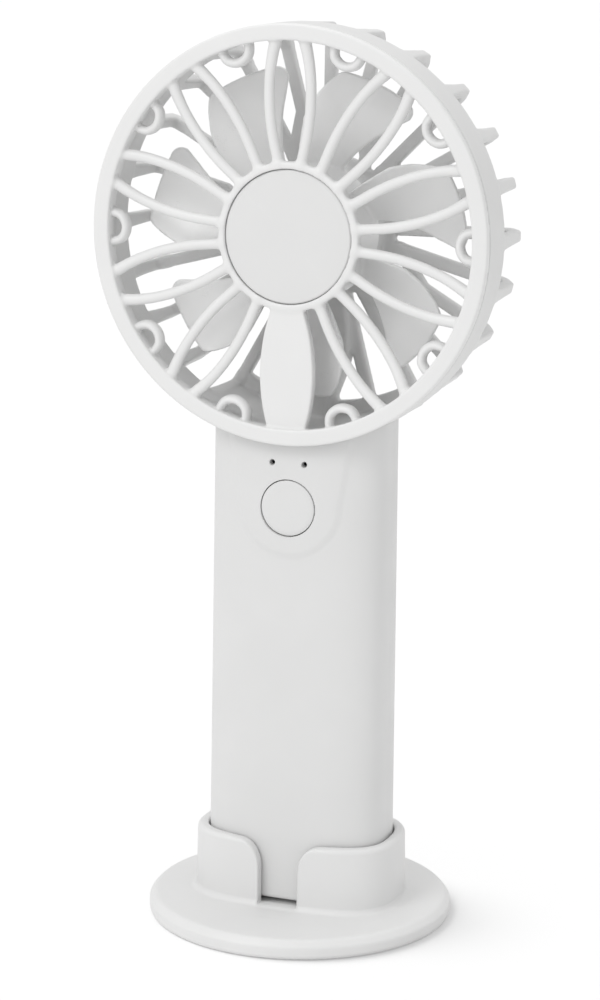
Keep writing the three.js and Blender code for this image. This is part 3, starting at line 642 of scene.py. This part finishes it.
# ---------------------------------------------------------------------------
# rear basket
# ---------------------------------------------------------------------------
def rear_basket():
    F = Field()
    F.add(turned_y([[45.3, -9.2, .1], [45.3, -12.05, .1], [R_HEAD, -12.05, .12], [R_HEAD, Y_DRUM, .7], [R_HEAD_IN, Y_DRUM, .5], [R_HEAD_IN, -9.2, .1]], 4))
    F.add(turned_y([[-20, 13.8], [12.6, 13.8, .3], [12.6, 5.2, .2], [14.4, 5.2, .3], [14.4, 12.6, 1.0], [16.7, 12.6, .4], [16.7, Y_REAR, .9], [-20, Y_REAR]], 5))
    merge = {75: 60, 30: 45, 15: 0, 330: 345, 315: 300, 105: 120, 150: 135, 165: 180, 210: 195, 225: 240}
    prof = poly2(fillet_poly([[44.8, -3.4, .2], [47.4, -3.4, .2], [47.2, 4, 4], [46.8, 13.4, 1.6], [45.0, Y_REAR, 1.2], [41.8, Y_REAR, .5], [41.8, 12.7, .6], [44.3, 11.6, 1.2]], 4))
    for k in range(24):
        a = 15 * k
        if 255 <= a <= 285:
            continue
        ca, sa = math.cos(a * D2R), math.sin(a * D2R)

        def tooth(X, Y, Z, ca=ca, sa=sa):
            u = X * ca + (Z - HZ) * sa
            t = -X * sa + (Z - HZ) * ca
            w = np.interp(Y, [-3.4, 0, 3.5, 8, 13.2, 16], [2.2, 1.85, 1.6, 1.45, 1.36, 1.32])
            return both(prof(u, Y), np.abs(t) - w, 0.65)

        c = np.array([polar(r, a, 0, o) for r in (41.5, 47) for o in (-2.8, 2.8)])
        F.add((tooth, (c[:, 0].min(), -3.4, c[:, 2].min()), (c[:, 0].max(), Y_REAR, c[:, 2].max())), 0.5)
        P = lambda r, d: (r * math.cos(d * D2R), HZ + r * math.sin(d * D2R))
        if a not in merge:
            F.add(strip([P(43.8, a), P(15.6, a)], [1.4, 1.5], 12.7, Y_REAR, 0.7), 0.7)
        else:
            b = merge[a]
            F.add(strip([P(43.8, a), P(27.0, a), P(18.0, b)], 1.38, 12.7, Y_REAR, 0.6), 0.45)
    for a, b in ((253.2, 250), (285, 285)):
        P = lambda r, d: (r * math.cos(d * D2R), HZ + r * math.sin(d * D2R))
        F.add(strip([P(43.8, a), P(15.6, b)], [1.4, 1.5], 12.7, Y_REAR, 0.7), 0.5)
    # solid web behind the neck
    g = poly2(fillet_poly([[R_HEAD_IN, -3], [47.3, -3], [47.3, 14.2, 1.4], [46.2, Y_REAR, .8], [41.4, Y_REAR, .5], [41.4, 12.7, .4], [R_HEAD_IN, 12.3, .8]], 4))
    n0, n1 = (math.sin(239 * D2R), -math.cos(239 * D2R)), (-math.sin(301 * D2R), math.cos(301 * D2R))

    def web(X, Y, Z):
        side = np.maximum(X * n0[0] + (Z - HZ) * n0[1], X * n1[0] + (Z - HZ) * n1[1])
        return both(g(np.hypot(X, Z - HZ), Y), side, 0.8)

    F.add((web, (-26, -3, HZ - 47.4), (26, Y_REAR, HZ - 34)), 0.6)
    # wire channel
    ch = np.array([[15.0, 5.0, 10.9], [22, 6.2, 10.3], [28.5, 6.7, 9.3], [34, 5.2, 8.3], [40, 2.9, 7.0], [45.8, 2.5, 6.2]])

    def channel(X, Y, Z):
        d = HZ - Z
        side = np.abs(X) - np.interp(d, ch[:, 0], ch[:, 1])
        depth = np.maximum(np.interp(d, ch[:, 0], ch[:, 2]) - Y, Y - Y_REAR)
        return np.maximum(both(side, depth, 0.8), np.maximum(14.8 - d, d - 45.8))

    F.add((channel, (-7, 6, HZ - 45.8), (7, Y_REAR, HZ - 14.8)), 0.8)
    # recess that the handle's top closes over
    F.cut((lambda X, Y, Z: np.maximum(46.75 - np.hypot(X, Z - HZ), np.maximum(np.abs(X) - 21.6, Z - HZ)) + 0 * Y, (-21.6, -13, HZ - 49), (21.6, 17, HZ - 40)), 0.1)
    # neck held between the shells
    block, lo, hi = brick(-16, 16, 3, 9.6, 105.5, 119, 0.5)
    F.add((lambda X, Y, Z: np.maximum(block(X, Y, Z), R_HEAD_IN + 1 - np.hypot(X, Z - HZ)), lo, hi), 0.4)
    for x in (-12, 12):
        F.cut(peg(1.2, 0, 12, x, 110))
    bore = np.array([[12.0, 12.95], [16, 12.95], [47, 8.2], [50, 8.0], [60, 8.0]])

    def wires(X, Y, Z):
        d = HZ - Z
        return np.maximum(both(np.abs(X) - 1.4, np.abs(Y - np.interp(d, bore[:, 0], bore[:, 1])) - 0.8, 0.3), 12.0 - d)

    F.cut((wires, (-1.4, 7, HZ - 60), (1.4, 13.8, HZ - 12)))
    h = 0.5
    P, Q = skin(F, steps((-48.2, 48.2, h)), steps((-12.8, -2.2, 0.62), (-2.2, 0.2, 0.45), (0.2, 11.9, 0.8), (11.9, 16.4, 0.45)),
                steps((104.6, 114.6, 0.7), (114.6, HZ + 48.2, h)))
    return finish_piece(to_object("rear_basket_moulding", P, Q), "white_plastic", "fan_body", "rear_housing")


# ---------------------------------------------------------------------------
# rotor
# ---------------------------------------------------------------------------
BLADE = np.array([[14.4, 3.5, 30, 2.6, -6.7], [19, 0.8, 30, 2.6, -6.0], [26.4, -5.4, 28.4, 2.3, -5.0], [31, -9.5, 24.4, 2.0, -4.2], [35, -12.2, 19.9, 1.8, -3.6],
                  [39.5, -13.2, 14.0, 1.4, -3.2]])


def rotor():
    F = Field()
    F.add(turned_y([[-20, -8.6], [15.8, -8.6, 1.4], [15.8, 4.4, .3], [14.4, 4.4, .3], [14.4, -7.0, .6], [3.2, -7.0, .3], [3.2, -2.0, .2], [1.06, -2.0, .1], [1.06, -8.0, .1], [-20, -8.0]], 4))
    for b in range(7):
        mid = 111.5 + 360 / 7 * b

        def blade(X, Y, Z, mid=mid):
            x, z = X, Z - HZ
            r = np.hypot(x, z)
            th = (np.degrees(np.arctan2(z, x)) - mid + 180) % 360 - 180
            cw, ccw = np.interp(r, BLADE[:, 0], BLADE[:, 1]), np.interp(r, BLADE[:, 0], BLADE[:, 2])
            yc, ya = np.interp(r, BLADE[:, 0], BLADE[:, 3]), np.interp(r, BLADE[:, 0], BLADE[:, 4])
            t = np.clip((th - cw) / (ccw - cw), -0.3, 1.3)
            y = yc + (ya - yc) * t + 0.8 * np.sin(np.pi * np.clip(t, 0, 1))
            arc = (ccw - cw) * D2R * r
            cosa = 1 / np.sqrt(1 + ((ya - yc) / arc) ** 2)
            dcw, dccw = (cw - th) * D2R * r, (th - ccw) * D2R * r
            tip = r - 38.0
            out = both(both(dcw, tip, 3.2), both(dccw, tip, 1.1), 0)
            body = np.maximum(out, 14.6 - r)
            return both(body, np.abs(Y - y) * cosa - 0.55, 0.42)

        th = np.radians(np.linspace(mid - 17, mid + 31, 13))
        q = np.array([(r * math.cos(t), r * math.sin(t)) for t in th for r in (14.4, 38.6)])
        F.add((blade, (q[:, 0].min(), -7.8, HZ + q[:, 1].min()), (q[:, 0].max(), 4.2, HZ + q[:, 1].max())), 0.9)
    h = 0.42
    P, Q = skin(F, steps((-39.4, 39.4, h)), steps((-9.6, 5.3, h)), steps((HZ - 39.4, HZ + 39.4, h)))
    return finish_piece(to_object("rotor_moulding", P, Q), "rotor_plastic", "rotor", "fan_rotor")


# ---------------------------------------------------------------------------
# handle
# ---------------------------------------------------------------------------
SCREWS = {"upper_left": (-12, 110, 12.2, -2.2), "upper_right": (12, 110, 12.2, -2.2), "lower_left": (-15, 34, 11.2, 1.5), "lower_right": (15, 34, 11.2, 1.5)}
STUB = (-16, 16, 3, 9.6, 105.5, 119)


def pad(X, Z):
    """How far the soft raised pad round the button stands out."""
    up = np.maximum(Z - 101.3, 0)
    hw = 12.4 + up * 0.17
    d = np.where(Z > 101.3, np.abs(X) - hw, np.hypot(X, Z - 101.3) - 12.4)
    t = np.clip((1.0 - d) / 2.0, 0, 1)
    return 0.40 * t * t * (3 - 2 * t)


def shell(X, Y, Z, relief=False):
    d = section(X, Y, 0, Z)
    if relief:
        d = d - np.where(Y < -3, pad(X, Z), 0)
    foot = smax(d, HANDLE_Z0 - Z, 1.0)
    return smax(foot, R_NECK - np.hypot(X, Z - HZ), 0.7)


def hollow(X, Y, Z):
    d = smax(section(X, Y, WALL, Z), HANDLE_Z0 + WALL - Z, 1.0)
    return smax(d, R_NECK + 1.6 - np.hypot(X, Z - HZ), 0.5)


HB = ((-HANDLE_A, -HANDLE_BF - 0.4, HANDLE_Z0), (HANDLE_A, HANDLE_BR, 121))


def handle_front():
    F = Field()
    F.add((lambda X, Y, Z: shell(X, Y, Z, True), *HB))
    F.cut((hollow, (HB[0][0] + 1, HB[0][1] + 1, 7), (HB[1][0] - 1, HB[1][1] - 1, 125)))
    F.clip(lambda X, Y, Z: Y - Y_SEAM + 0 * X + 0 * Z, 0.25)
    for x, z, seat, tip in SCREWS.values():
        end = STUB[2] - 0.3 if z > 60 else Y_SEAM
        boss, lo, hi = peg(2.4, -11.2, end, x, z)
        F.add((lambda X, Y, Z, boss=boss: np.maximum(boss(X, Y, Z), shell(X, Y, Z) + 0.3), lo, hi), 0.2)
        F.cut(peg(1.15, tip - 1.5, end + 1, x, z))
    F.cut(brick(STUB[0] - .3, STUB[1] + .3, STUB[2] - .3, 20, STUB[4] - .3, 125, 0.2))
    F.cut(peg(BUTTON_R + 0.21, -20, -6, 0, BUTTON_Z), 0.10)
    for x in (-LED_X, LED_X):
        F.cut(peg(0.68, -20, -6, x, LED_Z), 0.1)
    xs = steps((-23, -9, 0.55), (-9, 9, 0.27), (9, 23, 0.55))
    ys = steps((-13.6, -9.6, 0.3), (-9.6, 7.2, 0.6), (7.2, 8.9, 0.3))
    zs = steps((5.2, 9.4, 0.45), (9.4, 30, 2.0), (30, 38, 0.8), (38, 84, 2.2), (84, 92.2, 0.7), (92.2, 112.6, 0.27), (112.6, 122, 0.5))
    P, Q = skin(F, xs, ys, zs, relax=1)
    N, _ = F.slope(P, 0.1)
    return finish_piece(to_object("handle_front_moulding", P, Q, N), "white_plastic", "fan_body", "handle_front_shell")


def handle_rear():
    F = Field()
    F.add((shell, *HB))
    F.cut((hollow, (HB[0][0] + 1, HB[0][1] + 1, 7), (HB[1][0] - 1, HB[1][1] - 1, 125)))
    F.clip(lambda X, Y, Z: Y_SEAM + 0.3 - Y + 0 * X + 0 * Z, 0.25)
    whole = lambda X, Y, Z: smax(shell(X, Y, Z), Y_SEAM + 0.3 - Y, 0)
    F.cut(brick(STUB[0] - .3, STUB[1] + .3, -5, STUB[3] + .3, STUB[4] - .3, 125, 0.2))
    for x, z, seat, tip in SCREWS.values():
        y0 = STUB[3] + 0.3 if z > 60 else Y_SEAM + 0.3
        boss, lo, hi = peg(3.2, y0, 20, x, z)
        F.add((lambda X, Y, Z, boss=boss: np.maximum(boss(X, Y, Z), whole(X, Y, Z)), lo, hi), 0.2)
        F.cut(peg(1.2, 0, 20, x, z))
        F.cut(peg(2.3, seat, 22, x, z, 0.2), 0.25)
    F.cut(brick(-4.2, 4.2, 10, 22, 85.0, 88.4, 1.3), 0.25)
    xs = steps((-23, -18, 0.4), (-18, -9, 0.4), (-9, -5.4, 0.8), (-5.4, 5.4, 0.36), (5.4, 9, 0.8), (9, 18, 0.4), (18, 23, 0.4))
    ys = steps((7.4, 9.2, 0.28), (9.2, 16.4, 0.42))
    zs = steps((5.2, 9.4, 0.45), (9.4, 30, 2.0), (30, 38, 0.4), (38, 82, 2.2), (82, 91, 0.36), (91, 104, 1.2), (104, 114, 0.4), (114, 122, 0.5))
    P, Q = skin(F, xs, ys, zs, relax=1)
    N, _ = F.slope(P, 0.1)
    return finish_piece(to_object("handle_rear_moulding", P, Q, N), "white_plastic", "fan_body", "handle_rear_shell")


# ---------------------------------------------------------------------------
# stand
# ---------------------------------------------------------------------------
def stand():
    F = Field()
    F.add(turned_z([[-40, 1.2], [33.3, 1.2, .1], [33.3, 0.1, .1], [35.7, 0.1, .3], [36.0, 0.9, .5], [36.0, 3.0, 1.0], [34.6, 4.6, 1.6], [-40, 4.6]], 6))

    def collar(X, Y, Z):
        lean = np.interp(Z, [4.6, 20.4], [-3.25, -2.95])
        top = Z - COLLAR_Z
        return both(both(section(X, Y, 0) + lean, -(section(X, Y, 0) - 0.35), 0.3), top, 0.9)

    def collar_block(X, Y, Z):
        lean = np.interp(Z, [4.6, 20.4], [-3.25, -2.95])
        return both(section(X, Y, 0) + lean, Z - COLLAR_Z, 1.1)

    F.add((collar_block, (-25.4, -15.6, 2), (25.4, 19, COLLAR_Z)), 1.6)

    def well(X, Y, Z):
        return smax(section(X, Y, -0.35), 4.6 - Z, 0.3)

    F.cut((well, (-22.4, -12.6, 4.6), (22.4, 16, 26)), 0.7)
    # U-shaped notch at the front
    side = [(4.9, 4.9), (4.9, 13.4), (5.1, 15.4), (5.8, 17.4), (7.2, 19.2), (9.2, 20.2), (11.6, 20.5), (11.6, 26)]
    smooth = spline([(4.9, 13.4), (5.05, 15.4), (5.75, 17.4), (7.15, 19.15), (9.3, 20.2), (12.2, 20.5)], 4)
    right = [(4.9, 4.9)] + [tuple(p) for p in smooth] + [(12.2, 26)]
    g = poly2(right + [(-x, z) for x, z in right[::-1]])
    F.cut((lambda X, Y, Z: np.maximum(g(X, Z), Y + 6), (-12.2, -20, 4.9), (12.2, -6, 26)), 0.5)
    F.add((lambda X, Y, Z: both(section(X, Y, 4.5), Z - 5.3, 0.3), (-18, -8, 3), (18, 11.2, 5.3)), 0.3)
    P, Q = skin(F, steps((-36.9, 36.9, 0.5)), steps((-36.9, 36.9, 0.5)), steps((-0.7, 4.1, 0.4), (4.1, 6.6, 0.36), (6.6, 18.6, 0.6), (18.6, 21.4, 0.36)), relax=2)
    N, _ = F.slope(P, 0.12)
    return finish_piece(to_object("stand_moulding", P, Q, N), "white_plastic", "stand", "stand_base", finish="stand_plastic_painted_light")


def small_pieces():
    o = turn_mesh("stand_foot_ring", [[0, 0], [32.4, 0, .3], [33.0, 0.4, .2], [33.0, 0.9, .1], [0, 0.9]], "z")
    finish_piece(o, "foot_rubber", "stand", "stand_foot_pad")
    o = turn_mesh("power_button_cap", [[0, -10.98], [5.6, -10.95, 3.0], [6.5, -10.7, .25], [6.5, -8.25, .05], [7.6, -8.25, .1], [7.6, -7.5, .1], [1.6, -7.5, .1], [1.6, -7.2, .1], [0, -7.2]],
                  "y", (0, 0, BUTTON_Z), 128)
    finish_piece(o, "white_plastic", "button", "power_button")
    o = turn_mesh("hub_badge_disc", [[0, -12.72], [10, -12.70, 8], [14.85, -12.58, .4], [15.14, -12.3, .2], [15.14, -11.65, .1], [0, -11.65]], "y", (0, 0, HZ), 192)
    finish_piece(o, "badge_plastic", "fan_body", "hub_badge")
    for name, (x, z, seat, tip) in SCREWS.items():
        y = seat + 0.3
        F = Field()
        F.add(peg(0.85, tip, y + 0.3, x, z, 0.2))
        F.add(peg(1.9, y, y + 1.2, x, z, 0.35), 0.1)
        F.cut(brick(x - 0.28, x + 0.28, y + 0.5, y + 2, z - 1.2, z + 1.2, 0.1), 0.08)
        F.cut(brick(x - 1.2, x + 1.2, y + 0.5, y + 2, z - 0.28, z + 0.28, 0.1), 0.08)
        P, Q = skin(F, steps((x - 2.2, x + 2.2, 0.11)), steps((tip - 0.4, y - 0.3, 0.5), (y - 0.3, y + 1.6, 0.11)), steps((z - 2.2, z + 2.2, 0.11)), relax=1)
        finish_piece(to_object(f"pan_screw_{name}", P, Q), "bright_steel", "fan_body", f"shell_screw_{name}")
    # charging socket: a drawn steel sleeve with its tongue
    F = Field()
    F.add(brick(-3.9, 3.9, 8.4, 15.0, 85.3, 88.1, 1.1))
    F.cut(brick(-3.5, 3.5, 9.6, 17, 85.65, 87.75, 0.85))
    F.add(brick(-2.6, 2.6, 9.4, 14.2, 86.45, 86.95, 0.15), 0.1)
    P, Q = skin(F, steps((-4.3, 4.3, 0.16)), steps((8.0, 15.4, 0.2)), steps((84.9, 88.5, 0.13)), relax=1)
    finish_piece(to_object("charging_socket_sleeve", P, Q), "bright_steel", "fan_body", "charging_socket")


front_grille()
rear_basket()
rotor()
handle_front()
handle_rear()
stand()
small_pieces()

# carried-over pieces keep their CAD shape and take a real finish
slot_of = {p["node"]: p["material_slot"] for p in frame["record"]["subparts"]}
for name, o in frame["nodes"].items():
    o.data.materials.clear()
    o.data.materials.append(MAT[slot_of[name]])

# ---------------------------------------------------------------------------
# floor, light and camera
# ---------------------------------------------------------------------------
floor_mesh = bpy.data.meshes.new("floor")
S = 30.0
floor_mesh.from_pydata([(-S, -S, 0), (S, -S, 0), (S, S, 0), (-S, S, 0)], [], [(0, 1, 2, 3)])
floor = bpy.data.objects.new("floor", floor_mesh)
bpy.context.scene.collection.objects.link(floor)
fm = bpy.data.materials.new("floor_white")
fm.use_nodes = True
fb = fm.node_tree.nodes["Principled BSDF"]
fb.inputs["Base Color"].default_value = (0.60, 0.60, 0.60, 1)
fb.inputs["Emission Color"].default_value = (1, 1, 1, 1)
fb.inputs["Emission Strength"].default_value = 0.20
fb.inputs["Roughness"].default_value = 0.7
fb.inputs["Specular IOR Level"].default_value = 0.2
floor.data.materials.append(fm)
floor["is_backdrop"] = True

world = bpy.data.worlds.new("studio")
bpy.context.scene.world = world
world.use_nodes = True
bg = world.node_tree.nodes["Background"]
bg.inputs["Color"].default_value = (1, 1, 1, 1)
bg.inputs["Strength"].default_value = 0.80


def area(name, loc, target, size, power):
    lamp = bpy.data.lights.new(name, "AREA")
    lamp.shape = "DISK"
    lamp.size = size
    lamp.energy = power
    o = bpy.data.objects.new(name, lamp)
    bpy.context.scene.collection.objects.link(o)
    o.location = loc
    o.rotation_mode = "QUATERNION"
    o.rotation_quaternion = (Vector(target) - Vector(loc)).to_track_quat("-Z", "Y")
    return o


key = area("key", (-0.42, -0.98, 1.10), (0, 0, 0.12), 0.62, 4.6)
fill = area("fill", (-0.70, -2.30, 0.80), (0, 0, 0.12), 2.4, 7.4)
top = area("top", (0.0, 0.1, 1.80), (0, 0, 0.05), 1.5, 8.0)
# the lamps shape the object only; the floor is lit by the room
skip = bpy.data.collections.new("unlit_by_lamps")
skip.objects.link(floor)
skip.collection_objects[0].light_linking.link_state = "EXCLUDE"
for lamp in (key, fill, top):
    lamp.light_linking.receiver_collection = skip
# the floor's own light: the stand leaves a soft shadow round its foot
sun_data = bpy.data.lights.new("floor_light", "SUN")
sun_data.energy = 2.3
sun_data.angle = 50 * D2R
sun = bpy.data.objects.new("floor_light", sun_data)
bpy.context.scene.collection.objects.link(sun)
sun.rotation_mode = "QUATERNION"
sun.rotation_quaternion = Vector((0.85, 0.05, -1.0)).to_track_quat("-Z", "Y")
ground = bpy.data.collections.new("lit_by_floor_light")
ground.objects.link(floor)
sun.light_linking.receiver_collection = ground
casters = bpy.data.collections.new("shades_the_floor")
for name in ("stand_moulding", "stand_foot_ring"):
    casters.objects.link(bpy.data.objects[name])
sun.light_linking.blocker_collection = casters

AZ, EL, ROLL, DIST = 21.2042 * D2R, 12.3368 * D2R, 0.6620 * D2R, 662.337
TX, TZ, FOCAL = -1.0438, 99.9088, 2839.9985
sa, ca, se, ce = math.sin(AZ), math.cos(AZ), math.sin(EL), math.cos(EL)
back = Vector((sa * ce, -ca * ce, se))
right = Vector((ca, sa, 0))
up = back.cross(right)
Rv = right * math.cos(ROLL) + up * math.sin(ROLL)
Uv = up * math.cos(ROLL) - right * math.sin(ROLL)
pos = right * TX + Vector((0, 0, TZ)) + back * DIST
cam = bpy.data.cameras.new("camera")
cam.sensor_fit = "AUTO"
cam.sensor_width = 36.0
cam.lens = FOCAL / 1000 * 36.0
cam.clip_start, cam.clip_end = 0.01, 100
camera = bpy.data.objects.new("camera", cam)
bpy.context.scene.collection.objects.link(camera)
camera.matrix_world = Matrix(((Rv.x, Uv.x, back.x, pos.x * MM), (Rv.y, Uv.y, back.y, pos.y * MM), (Rv.z, Uv.z, back.z, pos.z * MM), (0, 0, 0, 1)))
bpy.context.scene.camera = camera

bpy.context.scene.view_settings.view_transform = "Standard"
bpy.context.scene.view_settings.look = "None"

bpy.context.view_layer.update()
VISUAL_BOX = [list(v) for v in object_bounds()]
print("boxes", CAD_BOX, VISUAL_BOX, f"{time.time() - T0:.1f} s")
